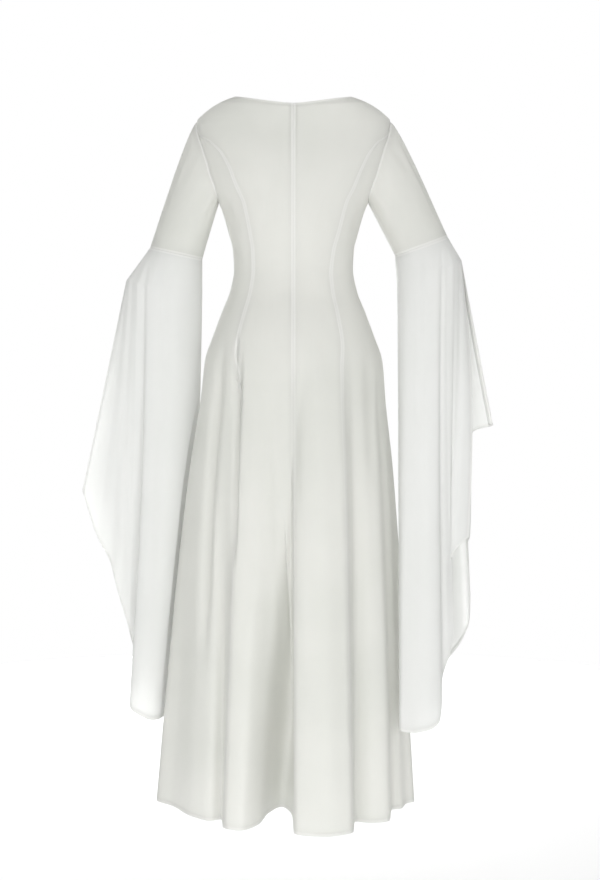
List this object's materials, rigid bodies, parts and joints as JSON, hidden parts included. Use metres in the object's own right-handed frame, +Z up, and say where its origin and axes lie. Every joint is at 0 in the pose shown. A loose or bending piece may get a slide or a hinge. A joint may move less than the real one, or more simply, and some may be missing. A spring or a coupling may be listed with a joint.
{
  "type": "medieval wedding dress",
  "caption": "Plain off-white medieval style wedding dress in its worn form, with princess seams, a fluted skirt and long split drapes below the elbows.",
  "frame": {"origin": "between the shoulders, level with the lowest point of the back neckline, where the wearer carries the dress", "axes": "+Z up, towards the neck; +Y towards the wearer's back; +X towards the wearer's left"},
  "size_m": [0.822, 0.433, 1.4062],
  "materials": {
    "crepe": "matte"
  },
  "bodies": {
    "root": {"center_back_left": "crepe", "center_back_right": "crepe", "side_back_left": "crepe", "side_back_right": "crepe", "side_front_left": "crepe", "side_front_right": "crepe", "center_front": "crepe", "upper_sleeve_left": "crepe", "upper_sleeve_right": "crepe", "sleeve_drape_left": "crepe", "sleeve_drape_right": "crepe"}
  },
  "joints": []
}
